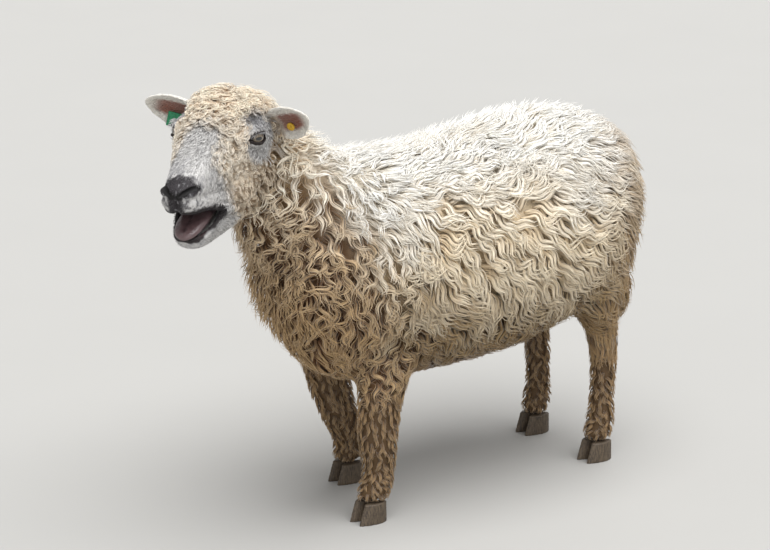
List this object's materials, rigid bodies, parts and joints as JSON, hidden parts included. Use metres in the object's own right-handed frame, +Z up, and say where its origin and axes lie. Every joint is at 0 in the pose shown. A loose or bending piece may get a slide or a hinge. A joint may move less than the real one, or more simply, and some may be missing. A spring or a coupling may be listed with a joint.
{
  "type": "longwool sheep model",
  "caption": "Life-size still model of a white longwool ewe with a mottled grey face, standing and bleating with her head turned to her left.",
  "frame": {"origin": "centre of the bounding box at floor level, between the four feet", "axes": "+Z up; the ewe faces -Y; +X is her left side; +Y runs along the back towards the tail"},
  "size_m": [0.3965, 1.0414, 0.7456],
  "materials": {
    "wool": "wavy cream-white longwool locks, matte",
    "leg_wool": "short tan-brown woolly coat, matte",
    "face_hair": "short white to grey face hair, dark mottled nose",
    "claw_horn": "dark horn, satin",
    "eye": "wet glossy eye",
    "tongue": "moist grey-mauve tongue",
    "green_plastic": "folded plastic ear tag",
    "yellow_plastic": "button ear tag"
  },
  "bodies": {
    "root": {"trunk": "wool", "neck": "wool", "tail": "wool", "leg_fore_left_upper": "leg_wool", "leg_fore_left_lower": "leg_wool", "leg_fore_right_upper": "leg_wool", "leg_fore_right_lower": "leg_wool", "leg_hind_left_upper": "leg_wool", "leg_hind_left_lower": "leg_wool", "leg_hind_right_upper": "leg_wool", "leg_hind_right_lower": "leg_wool", "head": "face_hair", "lower_jaw": "face_hair", "ear_left": "face_hair", "ear_right": "face_hair", "claw_fore_left_outer": "claw_horn", "claw_fore_left_inner": "claw_horn", "claw_fore_right_outer": "claw_horn", "claw_fore_right_inner": "claw_horn", "claw_hind_left_outer": "claw_horn", "claw_hind_left_inner": "claw_horn", "claw_hind_right_outer": "claw_horn", "claw_hind_right_inner": "claw_horn", "eye_left": "eye", "eye_right": "eye", "tongue": "tongue", "tag_green": "green_plastic", "tag_yellow": "yellow_plastic"}
  },
  "joints": []
}
